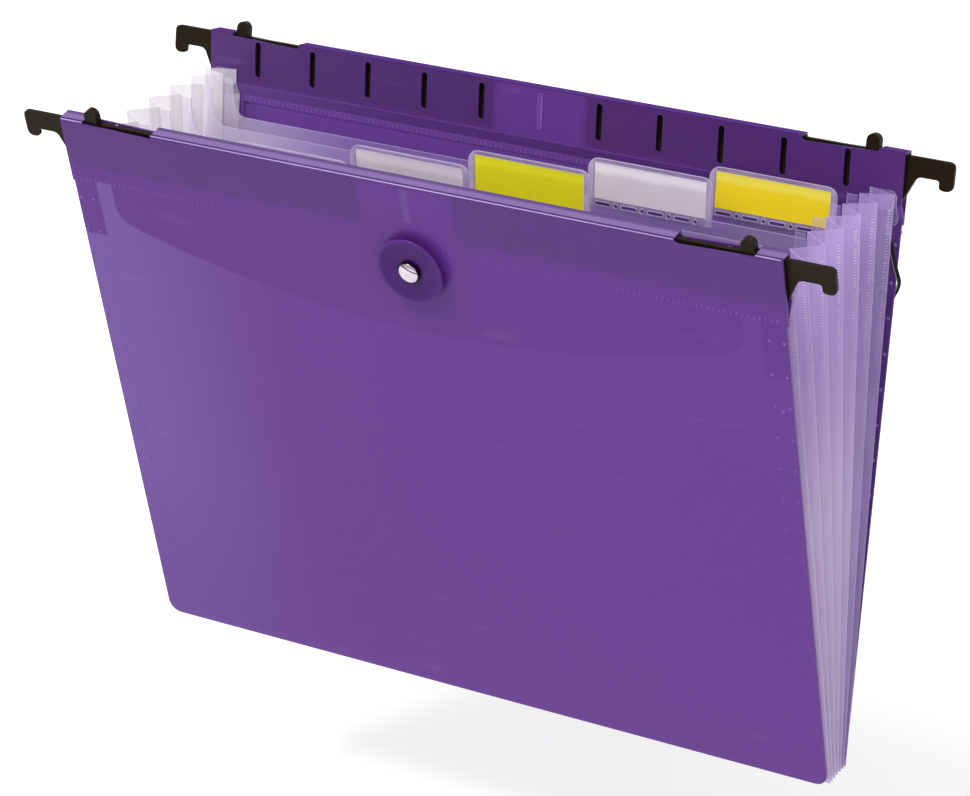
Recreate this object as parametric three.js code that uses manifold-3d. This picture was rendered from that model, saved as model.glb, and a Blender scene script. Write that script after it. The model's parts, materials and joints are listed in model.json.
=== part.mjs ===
// Hanging document pocket: a translucent expanding file with seven pockets that hangs from two rails.
// Millimetres, +Z up. X runs along the file, the front panel faces -Y, the back panel faces +Y.
// The origin is on the hanging line: midway between the rails, level with the seats of the hooks.
// Inside each sheet's own group X runs along the sheet, Y is its thickness and Z runs up it from its bottom edge.
import * as THREE from "three";
import { mergeVertices } from "three/addons/utils/BufferGeometryUtils.js";
import Module from "manifold-3d";

// Panels
const panelWidth = 298.5;
const panelHeight = 238.8;
const sheet = 0.8;
const panelCorner = 5;
const bodyInset = 0.7;
const clearance = 0.3;
const overrun = 2;

// Fan of pockets
const pocketCount = 7;
const foldPitch = 2.4;
const pocketAngle = THREE.MathUtils.degToRad(3.16);

// Sleeves along the top of both panels
const sleeveDepth = 6;
const sleeveWaist = 4.6;
const sleeveWaistDrop = 20.2;
const sleeveTaperDrop = 24.8;
const weldDrop = 26.3;
const weldBand = 1.2;

// Index slots in the inner layer of each sleeve
const indexSlotPitch = 25.4;
const indexSlotMargin = 20;
const indexSlotWidth = 2.5;
const indexSlotTop = 2;
const indexSlotBottom = 16.4;

// Apron below the weld line, with an ear at each side
const apronThickness = 0.5;
const apronHalfWidth = 132;
const apronSideDrop = 44;
const apronMiddleDrop = 64.3;
const apronCorner = 9;
const earWidth = 12.4;
const earDrop = 51;
const earThickness = 0.5;
const earInset = 1.2;

// Hook plates
const plateThickness = 1.6;
const plateSetback = 2.7;
const plateTopDrop = 1.1;
const plateBottomDrop = 18.5;
const plateMiddleGap = 39.7;
const hookReach = 18.4;
const hookSeatDrop = 8.4;
const hookToothDrop = 12;
const hookToothWidth = 5.4;
const hookThroat = 5;
const hookCorner = 2.4;
const webFoot = 0.5;
const knobWidth = 5.3;
const knobHeight = 4.7;
const knobThickness = 3;
const knobInset = 13.6;
const knobSlotOuterInset = 10.2;
const knobSlotLength = 31;
const scoopOuterDepth = 1.1;
const scoopInnerDepth = 2;
const scoopRound = 2;

// Accordion gusset
const gussetThickness = 0.4;
const leafWidth = 12.5;
const leafEdgeInset = 1;
const foldInset = 12.4;
const gussetTopDrop = 14.5;
const gussetBottom = 0.8;
const gussetSideLevels = 6;

// Dividers
const dividerThickness = 0.4;
const dividerDrop = 30.3;
const dividerEarDrop = 15.5;
const dividerEarTop = 4;
const dividerEarWidth = 10;

// Index tabs and their labels
const tabWidth = 50.8;
const tabRightInset = 7.9;
const tabRise = 15.8;
const tabLap = 2.6;
const tabWall = 0.35;
const tabGap = 1;
const tabCorner = 4;
const tabFold = 0.5;
const labelSideGap = 2.4;
const labelHeight = 13.9;
const labelThickness = 0.3;

// Button
const buttonDrop = 35;
const discRadius = 13.5;
const discThickness = 1;
const spacerRadius = 4.6;
const spacerThickness = 2;
const rivetShankRadius = 1.5;
const rivetDomeRadius = 4.25;
const rivetDomeHeight = 1.9;
const rivetTailRadius = 3;
const rivetTailThickness = 0.8;
const washerRadius = 4.8;
const washerThickness = 0.6;

// Elastic closing cord and its two end clips
const cordDiameter = 1.6;
const cordSides = 8;
const cordSteps = 80;
const clipInset = 5.3;
const clipDrop = 31;
const clipBarRadius = 0.8;
const clipBarLength = 9;
const clipPostRadius = 0.8;
const clipHoleRadius = 1.3;
const ferruleRadius = 1;
const ferruleLength = 4;
const ferruleSetback = 3.5;
const ferruleRunShare = 0.57;
const ferruleDropShare = 0.82;

// The right half of the cord's route from the clip round the panel's edge and down, to the middle behind the panel.
const cordHalfRoute = [
  [145.9, 44.3, -24.7],
  [147.1, 43.6, -28.1],
  [148.1, 43.2, -31.6],
  [149.1, 43.1, -35.0],
  [149.65, 43.7, -37.8],
  [149.6, 44.8, -40.2],
  [148.8, 45.75, -43.0],
  [146.7, 46.3, -47.4],
  [138.0, 46.6, -64.0],
  [128.0, 46.6, -79.6],
  [115.0, 46.6, -97.6],
  [100.0, 46.6, -115.2],
  [80.0, 46.6, -134.0],
  [60.0, 46.6, -148.0],
  [40.0, 46.6, -157.7],
  [20.0, 46.6, -163.3],
  [0.0, 46.6, -165.2],
];

const halfWidth = panelWidth / 2;
const bodyHalfWidth = halfWidth - bodyInset;
const foldX = halfWidth - foldInset;
const openAngle = pocketAngle * pocketCount;
const indexSlotCount = 1 + Math.floor((panelWidth - 2 * indexSlotMargin) / indexSlotPitch);
const dividerHalfWidth = foldX - gussetThickness - clearance;
const seatHeight = panelHeight - hookSeatDrop;
const hangHeight = seatHeight * Math.cos(openAngle / 2) + plateSetback * Math.sin(openAngle / 2);

const colours = {
  purple: { color: 0x5b3b86, roughness: 0.35, metalness: 0 },
  clear: { color: 0xd9cfe6, roughness: 0.3, metalness: 0 },
  black: { color: 0x2b2218, roughness: 0.5, metalness: 0 },
  chrome: { color: 0xcfcfd2, roughness: 0.15, metalness: 1 },
  elastic: { color: 0x1c1a1c, roughness: 0.8, metalness: 0 },
};
const labelColours = [0xd8d4da, 0xc9c2cf, 0xb4aab0, 0xc8c31e, 0xcdc3cd, 0xe6c82d];

const wasm = await Module();
wasm.setup();

// Joining and cutting

function solid(geometry) {
  const plain = geometry.clone();
  plain.deleteAttribute("normal");
  plain.deleteAttribute("uv");
  const merged = mergeVertices(plain, 1e-4);
  const mesh = new wasm.Mesh({
    numProp: 3,
    vertProperties: merged.attributes.position.array,
    triVerts: new Uint32Array(merged.index.array),
  });
  return new wasm.Manifold(mesh);
}

function geometryOf(shape) {
  const { vertProperties, triVerts } = shape.getMesh();
  const geometry = new THREE.BufferGeometry();
  geometry.setAttribute("position", new THREE.BufferAttribute(vertProperties, 3));
  geometry.setIndex(new THREE.BufferAttribute(triVerts, 1));
  geometry.computeVertexNormals();
  return geometry;
}

// Basic shapes

// A block from one corner to the other.
function block(x0, x1, y0, y1, z0, z1) {
  const box = new THREE.BoxGeometry(x1 - x0, y1 - y0, z1 - z0);
  return box.translate((x0 + x1) / 2, (y0 + y1) / 2, (z0 + z1) / 2);
}

// An outline drawn along the sheet and up it, given a thickness from y0 to y1.
function plate(shape, y0, y1, curveSegments = 4) {
  const geometry = new THREE.ExtrudeGeometry(shape, { depth: y1 - y0, bevelEnabled: false, curveSegments });
  return geometry.rotateX(Math.PI / 2).translate(0, y1, 0);
}

// A section drawn through the sheet's thickness and up it, run from x0 to x1.
function runAlong(shape, x0, x1) {
  const geometry = new THREE.ExtrudeGeometry(shape, { depth: x1 - x0, bevelEnabled: false });
  return geometry.rotateX(Math.PI / 2).rotateZ(Math.PI / 2).translate(x0, 0, 0);
}

function outline(points) {
  return new THREE.Shape(points.map(([x, z]) => new THREE.Vector2(x, z)));
}

function roundedSlot(x, z0, z1, width) {
  const r = width / 2;
  const shape = new THREE.Shape();
  shape.moveTo(x - r, z0 + r);
  shape.absarc(x, z0 + r, r, Math.PI, Math.PI * 2, false);
  shape.lineTo(x + r, z1 - r);
  shape.absarc(x, z1 - r, r, 0, Math.PI, false);
  shape.closePath();
  return shape;
}

// A folded strip as a closed solid: each row is one section of the strip, a list of pairs of points, one a side.
function stripSolid(rows) {
  const rowLength = rows[0].length;
  const positions = [];
  const index = [];
  const at = (i, j, side) => (i * rowLength + j) * 2 + side;
  rows.forEach((row) => row.forEach((pair) => pair.forEach((p) => positions.push(p.x, p.y, p.z))));
  const quad = (a, b, c, d) => index.push(a, b, c, a, c, d);
  for (let i = 0; i + 1 < rows.length; i++) {
    for (let j = 0; j + 1 < rowLength; j++) {
      quad(at(i, j, 0), at(i, j + 1, 0), at(i + 1, j + 1, 0), at(i + 1, j, 0));
      quad(at(i, j, 1), at(i + 1, j, 1), at(i + 1, j + 1, 1), at(i, j + 1, 1));
    }
    quad(at(i, 0, 0), at(i + 1, 0, 0), at(i + 1, 0, 1), at(i, 0, 1));
    const end = rowLength - 1;
    quad(at(i, end, 0), at(i, end, 1), at(i + 1, end, 1), at(i + 1, end, 0));
  }
  for (let j = 0; j + 1 < rowLength; j++) {
    quad(at(0, j, 0), at(0, j, 1), at(0, j + 1, 1), at(0, j + 1, 0));
    const top = rows.length - 1;
    quad(at(top, j, 0), at(top, j + 1, 0), at(top, j + 1, 1), at(top, j, 1));
  }
  const geometry = new THREE.BufferGeometry();
  geometry.setAttribute("position", new THREE.Float32BufferAttribute(positions, 3));
  geometry.setIndex(index);
  return geometry;
}

// The two sides of a folded line in a plane, half a thickness away, with the mitre at a sharp fold held back.
function bothSides(line, thickness) {
  const mitreLimit = 2;
  return line.map((p, i) => {
    const before = line[Math.max(i - 1, 0)];
    const after = line[Math.min(i + 1, line.length - 1)];
    const first = i > 0 ? new THREE.Vector2().subVectors(p, before) : new THREE.Vector2().subVectors(after, p);
    const second = i + 1 < line.length ? new THREE.Vector2().subVectors(after, p) : first.clone();
    const normals = [first, second].map((d) => new THREE.Vector2(-d.y, d.x).normalize());
    const middle = normals[0].clone().add(normals[1]).normalize();
    const stretch = Math.min(mitreLimit, 1 / Math.max(middle.dot(normals[0]), 1 / mitreLimit));
    const step = middle.multiplyScalar((stretch * thickness) / 2);
    return [p.clone().add(step), p.clone().sub(step)];
  });
}

// Where things are in the fan

// Lean of the sheet at a place in the fan: 0 is the front panel and pocketCount the back panel.
function lean(place) {
  return (place - pocketCount / 2) * pocketAngle;
}

// The point at a height up that sheet, and a distance back from its plane, in the part's frame, as (y, z).
function onSheet(place, height, back = 0) {
  const y = (place - pocketCount / 2) * foldPitch + height * Math.sin(lean(place)) + back * Math.cos(lean(place));
  const z = height * Math.cos(lean(place)) - back * Math.sin(lean(place)) - hangHeight;
  return new THREE.Vector2(y, z);
}

// How far a panel's inner face stands from its outer one, at a distance below the panel's top.
function innerFace(drop) {
  if (drop <= sleeveWaistDrop) {
    return THREE.MathUtils.lerp(sleeveDepth, sleeveWaist, drop / sleeveWaistDrop);
  }
  if (drop < sleeveTaperDrop) {
    const share = (drop - sleeveWaistDrop) / (sleeveTaperDrop - sleeveWaistDrop);
    return THREE.MathUtils.lerp(sleeveWaist, 2 * sheet, share);
  }
  return drop < earDrop + clearance ? 2 * sheet : sheet;
}

// Panels and hook plates, all drawn for the front of the file: the inside of the panel is towards +Y.

function sleeveSection() {
  const section = outline([
    [0, panelHeight - weldDrop - weldBand],
    [2 * sheet, panelHeight - weldDrop - weldBand],
    [2 * sheet, panelHeight - sleeveTaperDrop],
    [sleeveWaist, panelHeight - sleeveWaistDrop],
    [sleeveDepth, panelHeight],
    [0, panelHeight],
  ]);
  const hollow = outline([
    [sheet, panelHeight - sleeveTaperDrop],
    [sleeveWaist - sheet, panelHeight - sleeveWaistDrop],
    [sleeveDepth - sheet, panelHeight - sheet],
    [sheet, panelHeight - sheet],
  ]);
  section.holes.push(hollow);
  return section;
}

function panelWall() {
  const top = panelHeight - weldDrop;
  const shape = new THREE.Shape();
  shape.moveTo(-bodyHalfWidth + panelCorner, 0);
  shape.lineTo(bodyHalfWidth - panelCorner, 0);
  shape.absarc(bodyHalfWidth - panelCorner, panelCorner, panelCorner, -Math.PI / 2, 0, false);
  shape.lineTo(bodyHalfWidth, top);
  shape.lineTo(-bodyHalfWidth, top);
  shape.lineTo(-bodyHalfWidth, panelCorner);
  shape.absarc(-bodyHalfWidth + panelCorner, panelCorner, panelCorner, Math.PI, Math.PI * 1.5, false);
  return shape;
}

function apronOutline() {
  const top = panelHeight - weldDrop;
  const side = panelHeight - apronSideDrop;
  const dip = panelHeight - apronMiddleDrop;
  const shape = new THREE.Shape();
  shape.moveTo(-apronHalfWidth, top);
  shape.lineTo(-apronHalfWidth, side + apronCorner);
  shape.quadraticCurveTo(-apronHalfWidth, side, -apronHalfWidth + apronCorner, side);
  shape.quadraticCurveTo(0, 2 * dip - side, apronHalfWidth - apronCorner, side);
  shape.quadraticCurveTo(apronHalfWidth, side, apronHalfWidth, side + apronCorner);
  shape.lineTo(apronHalfWidth, top);
  return shape;
}

// The scoop across the sleeve's top that a knob slides along, deepest at its inner end.
function knobScoop() {
  const outer = halfWidth - knobSlotOuterInset;
  const inner = outer - knobSlotLength;
  const shape = new THREE.Shape();
  shape.moveTo(outer, panelHeight + overrun);
  shape.lineTo(outer, panelHeight - scoopOuterDepth);
  shape.quadraticCurveTo(inner + scoopRound, panelHeight - scoopInnerDepth, inner + scoopRound,
    panelHeight - scoopInnerDepth);
  shape.quadraticCurveTo(inner, panelHeight - scoopInnerDepth, inner, panelHeight);
  shape.lineTo(inner, panelHeight + overrun);
  return shape;
}

function earSolid(side) {
  const outer = side * (bodyHalfWidth - earInset);
  const inner = outer - side * earWidth;
  const low = panelHeight - earDrop;
  const high = panelHeight - weldDrop;
  return solid(block(Math.min(outer, inner), Math.max(outer, inner), sheet / 2, sheet + earThickness, low, high));
}

function panelSolid() {
  let panel = solid(runAlong(sleeveSection(), -halfWidth, halfWidth));
  panel = panel.add(solid(plate(panelWall(), 0, sheet)));
  panel = panel.add(solid(plate(apronOutline(), sheet / 2, sheet + apronThickness, 10)));
  panel = panel.add(earSolid(-1)).add(earSolid(1));
  for (let i = 0; i < indexSlotCount; i++) {
    const x = (i - (indexSlotCount - 1) / 2) * indexSlotPitch;
    const shape = roundedSlot(x, panelHeight - indexSlotBottom, panelHeight - indexSlotTop, indexSlotWidth);
    panel = panel.subtract(solid(plate(shape, sleeveDepth / 2, sleeveDepth + overrun)));
  }
  const scoop = solid(plate(knobScoop(), -overrun, sleeveDepth + overrun, 8));
  return panel.subtract(scoop).subtract(scoop.mirror([1, 0, 0]));
}

function roundHole(x, z, radius) {
  const hole = new THREE.CylinderGeometry(radius, radius, 2 * (sleeveDepth + overrun), 16);
  return solid(hole.translate(x, 0, z));
}

function frontPanel() {
  const hole = roundHole(0, panelHeight - buttonDrop, rivetShankRadius + clearance);
  return geometryOf(panelSolid().subtract(hole));
}

// The back panel is the front one turned to face it, with a hole for each elastic clip in place of the button's.
function backPanel() {
  let panel = panelSolid().mirror([0, 1, 0]);
  for (const side of [-1, 1]) {
    panel = panel.subtract(roundHole(side * (halfWidth - clipInset), panelHeight - clipDrop, clipHoleRadius));
  }
  return geometryOf(panel);
}

function hookOutline() {
  const top = panelHeight - plateTopDrop;
  const bottom = panelHeight - plateBottomDrop;
  const tip = halfWidth + hookReach;
  const tooth = tip - hookToothWidth;
  const toothEnd = panelHeight - hookToothDrop;
  const toothRound = hookToothWidth / 2;
  const shape = new THREE.Shape();
  shape.moveTo(plateMiddleGap / 2, bottom);
  shape.lineTo(halfWidth - webFoot, bottom);
  shape.lineTo(halfWidth + hookThroat - hookCorner / 2, seatHeight - hookCorner / 2);
  shape.quadraticCurveTo(halfWidth + hookThroat, seatHeight, halfWidth + hookThroat + hookCorner / 2, seatHeight);
  shape.lineTo(tooth - hookCorner / 2, seatHeight);
  shape.quadraticCurveTo(tooth, seatHeight, tooth, seatHeight - hookCorner / 2);
  shape.lineTo(tooth, toothEnd + toothRound / 2);
  shape.quadraticCurveTo(tooth, toothEnd, tooth + toothRound, toothEnd);
  shape.quadraticCurveTo(tip, toothEnd, tip, toothEnd + toothRound);
  shape.lineTo(tip, top - hookCorner);
  shape.quadraticCurveTo(tip, top, tip - hookCorner, top);
  shape.lineTo(plateMiddleGap / 2, top);
  return shape;
}

function knobOutline() {
  const middle = halfWidth - knobInset;
  const root = panelHeight - plateTopDrop - plateThickness;
  const radius = knobWidth / 2;
  const shape = new THREE.Shape();
  shape.moveTo(middle - radius, root);
  shape.lineTo(middle + radius, root);
  shape.lineTo(middle + radius, panelHeight + knobHeight - radius);
  shape.absarc(middle, panelHeight + knobHeight - radius, radius, 0, Math.PI, false);
  return shape;
}

// A hook plate: facing is 1 in the front panel and -1 in the back one, side is -1 on the left and 1 on the right.
function hookPlate(facing, side) {
  const plateHalf = plateThickness / 2;
  const knobHalf = knobThickness / 2;
  const body = solid(plate(hookOutline(), plateSetback - plateHalf, plateSetback + plateHalf));
  const knob = solid(plate(knobOutline(), plateSetback - knobHalf, plateSetback + knobHalf, 6));
  let hook = body.add(knob);
  if (facing < 0) hook = hook.mirror([0, 1, 0]);
  if (side < 0) hook = hook.mirror([1, 0, 0]);
  return geometryOf(hook);
}

// Gusset

// The folded line of a side gusset at one height: out along the front panel, through every pleat and out again.
function gussetLine(height) {
  const standoff = innerFace(panelHeight - height) + clearance + gussetThickness / 2;
  const inner = [];
  for (let k = 0; k <= pocketCount; k++) {
    const back = k === 0 ? standoff : k === pocketCount ? -standoff : 0;
    inner.push(onSheet(k, height, back));
  }
  const edge = bodyHalfWidth - leafEdgeInset;
  const line = [new THREE.Vector2(edge, inner[0].x)];
  inner.forEach((p, k) => {
    line.push(new THREE.Vector2(foldX, p.x));
    if (k < pocketCount) {
      const half = inner[k + 1].distanceTo(p) / 2;
      const reach = Math.sqrt(Math.max(leafWidth ** 2 - half ** 2, 0));
      line.push(new THREE.Vector2(foldX + reach, (p.x + inner[k + 1].x) / 2));
    }
  });
  line.push(new THREE.Vector2(edge, inner[pocketCount].x));
  const heights = [inner[0].y];
  inner.forEach((p, k) => {
    heights.push(p.y);
    if (k < pocketCount) heights.push((p.y + inner[k + 1].y) / 2);
  });
  heights.push(inner[pocketCount].y);
  return { line, heights };
}

function sideGusset(side) {
  const drops = [gussetTopDrop, sleeveWaistDrop, sleeveTaperDrop, earDrop, earDrop + 2 * clearance];
  const lowest = panelHeight - gussetBottom;
  for (let i = 1; i <= gussetSideLevels; i++) {
    drops.push(THREE.MathUtils.lerp(earDrop, lowest, i / gussetSideLevels));
  }
  const rows = drops.reverse().map((drop) => {
    const { line, heights } = gussetLine(panelHeight - drop);
    return bothSides(line, gussetThickness).map((pair, j) =>
      pair.map((p) => new THREE.Vector3(side * p.x, p.y, heights[j])),
    );
  });
  if (side > 0) rows.forEach((row) => row.forEach((pair) => pair.reverse()));
  return solid(stripSolid(rows));
}

function bottomGusset() {
  const top = foldInset;
  const standoff = sheet + clearance + gussetThickness / 2;
  const points = [onSheet(0, gussetBottom, standoff)];
  for (let k = 0; k <= pocketCount; k++) {
    const back = k === 0 ? standoff : k === pocketCount ? -standoff : 0;
    points.push(onSheet(k, top, back));
    if (k < pocketCount) points.push(onSheet(k + 1 / 2, gussetBottom));
  }
  points.push(onSheet(pocketCount, gussetBottom, -standoff));
  const end = foldX - 3 * gussetThickness;
  const rows = [end, -end].map((x) =>
    bothSides(points, gussetThickness).map((pair) => pair.map((p) => new THREE.Vector3(x, p.x, p.y))),
  );
  return solid(stripSolid(rows));
}

// Dividers and their tabs

const dividerTop = panelHeight - dividerDrop;

// A divider, with an ear up each side that leaves room for the label where a tab reaches it.
function divider(number) {
  const side = dividerHalfWidth;
  const bottom = foldInset + gussetThickness + clearance;
  const earTop = panelHeight - dividerEarDrop;
  const shape = new THREE.Shape();
  shape.moveTo(-side, bottom);
  shape.lineTo(side, bottom);
  shape.lineTo(side, earTop);
  shape.lineTo(side - dividerEarTop, earTop);
  shape.quadraticCurveTo(side - dividerEarTop, dividerTop, side - dividerEarWidth, dividerTop);
  shape.lineTo(-side + dividerEarWidth, dividerTop);
  shape.quadraticCurveTo(-side + dividerEarTop, dividerTop, -side + dividerEarTop, earTop);
  shape.lineTo(-side, earTop);
  const body = solid(plate(shape, -dividerThickness / 2, dividerThickness / 2, 6));
  return geometryOf(body.subtract(solid(labelBlock(number, clearance, dividerThickness))));
}

// The tabs step evenly across: the first one starts at the divider's left side, the last ends short of its right.
function tabCentre(number) {
  const first = -dividerHalfWidth + tabWidth / 2;
  const last = dividerHalfWidth - tabRightInset - tabWidth / 2;
  return THREE.MathUtils.lerp(first, last, (number - 1) / (pocketCount - 2));
}

function tabSleeve(number) {
  const x = tabCentre(number);
  const half = tabWidth / 2;
  const low = dividerTop - tabLap;
  const high = dividerTop + tabRise;
  const depth = tabGap / 2 + tabWall;
  const shape = new THREE.Shape();
  shape.moveTo(x - half, low);
  shape.lineTo(x + half, low);
  shape.lineTo(x + half, high - tabCorner);
  shape.absarc(x + half - tabCorner, high - tabCorner, tabCorner, 0, Math.PI / 2, false);
  shape.lineTo(x - half + tabCorner, high);
  shape.absarc(x - half + tabCorner, high - tabCorner, tabCorner, Math.PI / 2, Math.PI, false);
  const gap = block(x - tabWidth, x + tabWidth, -tabGap / 2, tabGap / 2, low - overrun, high - tabFold);
  return geometryOf(solid(plate(shape, -depth, depth)).subtract(solid(gap)));
}

// The room of a label, a margin wider and higher than it and as thick as asked.
function labelBlock(number, margin, thickness) {
  const x = tabCentre(number);
  const low = dividerTop + clearance;
  const half = tabWidth / 2 - labelSideGap + margin;
  return block(x - half, x + half, -thickness / 2, thickness / 2, low, low + labelHeight + margin);
}

// Button. Its pieces are turned about an axis through the front panel, and stand out towards -Y.

const discBack = -(clearance + spacerThickness + clearance);
const discFront = discBack - discThickness;
const buttonHeight = panelHeight - buttonDrop;

function turnedOnPanel(points) {
  const profile = points.map(([radius, y]) => new THREE.Vector2(radius, y));
  return new THREE.LatheGeometry(profile, 32).translate(0, 0, buttonHeight);
}

function ring(inner, outer, y0, y1) {
  return turnedOnPanel([
    [inner, y0],
    [outer, y0],
    [outer, y1],
    [inner, y1],
    [inner, y0],
  ]);
}

function buttonRivet() {
  const domeBack = discFront - clearance;
  const tailFront = sheet + apronThickness + clearance + washerThickness + clearance;
  const domeSteps = 5;
  const profile = [[0, domeBack - rivetDomeHeight]];
  for (let i = 1; i <= domeSteps; i++) {
    const turn = (i / domeSteps) * (Math.PI / 2);
    profile.push([rivetDomeRadius * Math.sin(turn), domeBack - rivetDomeHeight * Math.cos(turn)]);
  }
  profile.push([rivetShankRadius, domeBack]);
  profile.push([rivetShankRadius, tailFront]);
  profile.push([rivetTailRadius, tailFront]);
  profile.push([rivetTailRadius, tailFront + rivetTailThickness]);
  profile.push([0, tailFront + rivetTailThickness]);
  return turnedOnPanel(profile);
}

// Elastic

function elasticClip(side) {
  const x = side * (halfWidth - clipInset);
  const z = panelHeight - clipDrop;
  const bar = new THREE.CylinderGeometry(clipBarRadius, clipBarRadius, clipBarLength, 10);
  bar.rotateZ(Math.PI / 2).translate(x, clearance + clipBarRadius, z);
  const postLength = clearance + clipBarRadius + ferruleSetback;
  const post = new THREE.CylinderGeometry(clipPostRadius, clipPostRadius, postLength, 10);
  post.translate(x, postLength / 2 - ferruleSetback, z);
  const ferrule = new THREE.CylinderGeometry(ferruleRadius, ferruleRadius, ferruleLength, 10);
  ferrule.translate(0, ferruleLength / 2 - ferruleRadius, 0);
  const along = new THREE.Vector3(side * ferruleRunShare, 0, -ferruleDropShare).normalize();
  ferrule.applyQuaternion(new THREE.Quaternion().setFromUnitVectors(new THREE.Vector3(0, 1, 0), along));
  ferrule.translate(x, -ferruleSetback, z);
  return geometryOf(solid(bar).add(solid(post)).add(solid(ferrule)));
}

function elasticCord() {
  const right = cordHalfRoute.map(([x, y, z]) => new THREE.Vector3(x, y, z));
  const left = right.slice(0, -1).map((p) => new THREE.Vector3(-p.x, p.y, p.z));
  const path = new THREE.CatmullRomCurve3([...right, ...left.reverse()], false, "centripetal");
  const section = new THREE.Shape();
  section.absarc(0, 0, cordDiameter / 2, 0, Math.PI * 2, false);
  return new THREE.ExtrudeGeometry(section, {
    extrudePath: path,
    steps: cordSteps,
    curveSegments: cordSides,
    bevelEnabled: false,
  });
}

// Assembly

const hangingFile = new THREE.Group();

function addPiece(group, name, geometry, finish) {
  const mesh = new THREE.Mesh(geometry, new THREE.MeshStandardMaterial(finish));
  mesh.name = name;
  group.add(mesh);
}

// The group of the back panel stands on its own bottom edge, leaning back.
const backGroup = new THREE.Group();
const backFoot = onSheet(pocketCount, 0);
backGroup.position.set(0, backFoot.x, backFoot.y);
backGroup.rotation.x = -lean(pocketCount);
hangingFile.add(backGroup);

// The group of the next sheet forward, hinged at the bottom fold between the two.
function nextSheet(parent, place) {
  const step = (at) => new THREE.Vector3(
    0,
    (-foldPitch / 2) * Math.cos(lean(at)),
    (-foldPitch / 2) * Math.sin(lean(at)),
  );
  const hinge = new THREE.Group();
  hinge.position.copy(step(place + 1));
  hinge.rotation.x = pocketAngle;
  parent.add(hinge);
  const group = new THREE.Group();
  group.position.copy(step(place));
  hinge.add(group);
  return group;
}

addPiece(backGroup, "back_panel", backPanel(), colours.purple);
addPiece(backGroup, "hook_back_left", hookPlate(-1, -1), colours.black);
addPiece(backGroup, "hook_back_right", hookPlate(-1, 1), colours.black);
addPiece(backGroup, "elastic_clip_left", elasticClip(-1), colours.chrome);
addPiece(backGroup, "elastic_clip_right", elasticClip(1), colours.chrome);

let group = backGroup;
for (let number = pocketCount - 1; number >= 1; number--) {
  group = nextSheet(group, number);
  addPiece(group, `divider_${number}`, divider(number), colours.clear);
  addPiece(group, `tab_sleeve_${number}`, tabSleeve(number), colours.clear);
  const paper = { color: labelColours[number - 1], roughness: 0.7, metalness: 0 };
  addPiece(group, `label_${number}`, labelBlock(number, 0, labelThickness), paper);
}

const frontGroup = nextSheet(group, 0);
addPiece(frontGroup, "front_panel", frontPanel(), colours.purple);
addPiece(frontGroup, "hook_front_left", hookPlate(1, -1), colours.black);
addPiece(frontGroup, "hook_front_right", hookPlate(1, 1), colours.black);
const bore = rivetShankRadius + clearance;
addPiece(frontGroup, "button_disc", ring(bore, discRadius, discFront, discBack), colours.purple);
addPiece(frontGroup, "button_spacer", ring(bore, spacerRadius, -clearance - spacerThickness, -clearance), colours.black);
addPiece(frontGroup, "button_rivet", buttonRivet(), colours.chrome);
const washerFront = sheet + apronThickness + clearance;
const washer = ring(bore, washerRadius, washerFront, washerFront + washerThickness);
addPiece(frontGroup, "rivet_washer", washer, colours.chrome);

// The gusset's flap on the back panel has a hole for the post of each elastic clip.
for (const [side, name] of [[-1, "gusset_left"], [1, "gusset_right"]]) {
  const x = side * (halfWidth - clipInset);
  const hole = new THREE.CylinderGeometry(clipHoleRadius, clipHoleRadius, 2 * (clearance + gussetThickness), 12);
  const standoff = innerFace(clipDrop) + clearance + gussetThickness / 2;
  const place = onSheet(pocketCount, panelHeight - clipDrop, -standoff);
  hole.rotateX(-lean(pocketCount)).translate(x, place.x, place.y);
  addPiece(hangingFile, name, geometryOf(sideGusset(side).subtract(solid(hole))), colours.clear);
}
addPiece(hangingFile, "gusset_bottom", geometryOf(bottomGusset()), colours.clear);
addPiece(hangingFile, "elastic_cord", elasticCord(), colours.elastic);

export default hangingFile;
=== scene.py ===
"""A hanging document pocket: a translucent expanding file with seven pockets, index tabs and sliding hooks.

Metres, +Z up. X runs along the file, the front panel faces -Y and the back panel +Y, and the origin lies on
the hanging line, midway between the two rails. "Across" is a place along the file, "drop" a distance down a
sheet from the top of the panels, "rise" a height above a face, and "place" a sheet's number in the fan: 0 is
the front panel and 7 the back one.
"""
import json
import random
from math import cos, pi, radians, sin, sqrt

import bmesh
import bpy
from mathutils import Matrix, Vector


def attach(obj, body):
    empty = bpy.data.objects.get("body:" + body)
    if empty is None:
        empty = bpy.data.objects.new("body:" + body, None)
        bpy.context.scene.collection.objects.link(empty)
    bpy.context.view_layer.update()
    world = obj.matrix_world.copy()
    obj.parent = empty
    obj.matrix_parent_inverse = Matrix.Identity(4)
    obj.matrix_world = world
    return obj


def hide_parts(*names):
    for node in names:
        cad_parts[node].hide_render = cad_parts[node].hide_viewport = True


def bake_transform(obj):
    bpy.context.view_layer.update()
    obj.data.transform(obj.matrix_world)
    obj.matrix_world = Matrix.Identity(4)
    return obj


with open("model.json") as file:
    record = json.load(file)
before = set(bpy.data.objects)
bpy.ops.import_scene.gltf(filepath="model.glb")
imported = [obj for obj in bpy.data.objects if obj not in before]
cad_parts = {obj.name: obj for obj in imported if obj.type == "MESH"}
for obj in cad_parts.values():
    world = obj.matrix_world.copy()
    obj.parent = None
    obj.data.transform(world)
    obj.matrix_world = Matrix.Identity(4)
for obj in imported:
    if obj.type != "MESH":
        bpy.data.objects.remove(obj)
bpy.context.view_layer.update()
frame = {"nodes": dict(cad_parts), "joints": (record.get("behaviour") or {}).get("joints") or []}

# Panels
HALF_WIDTH = 0.14925
PANEL_HEIGHT = 0.2388
SHEET = 0.0008
PANEL_LEAN = radians(11.06)

# Fan of pockets
POCKETS = 7
FOLD_PITCH = 0.0024
POCKET_ANGLE = 2 * PANEL_LEAN / POCKETS
FOOT_Z = next(joint["pos_m"][2] for joint in frame["joints"] if joint["name"] == "pocket_4_fold")

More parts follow.
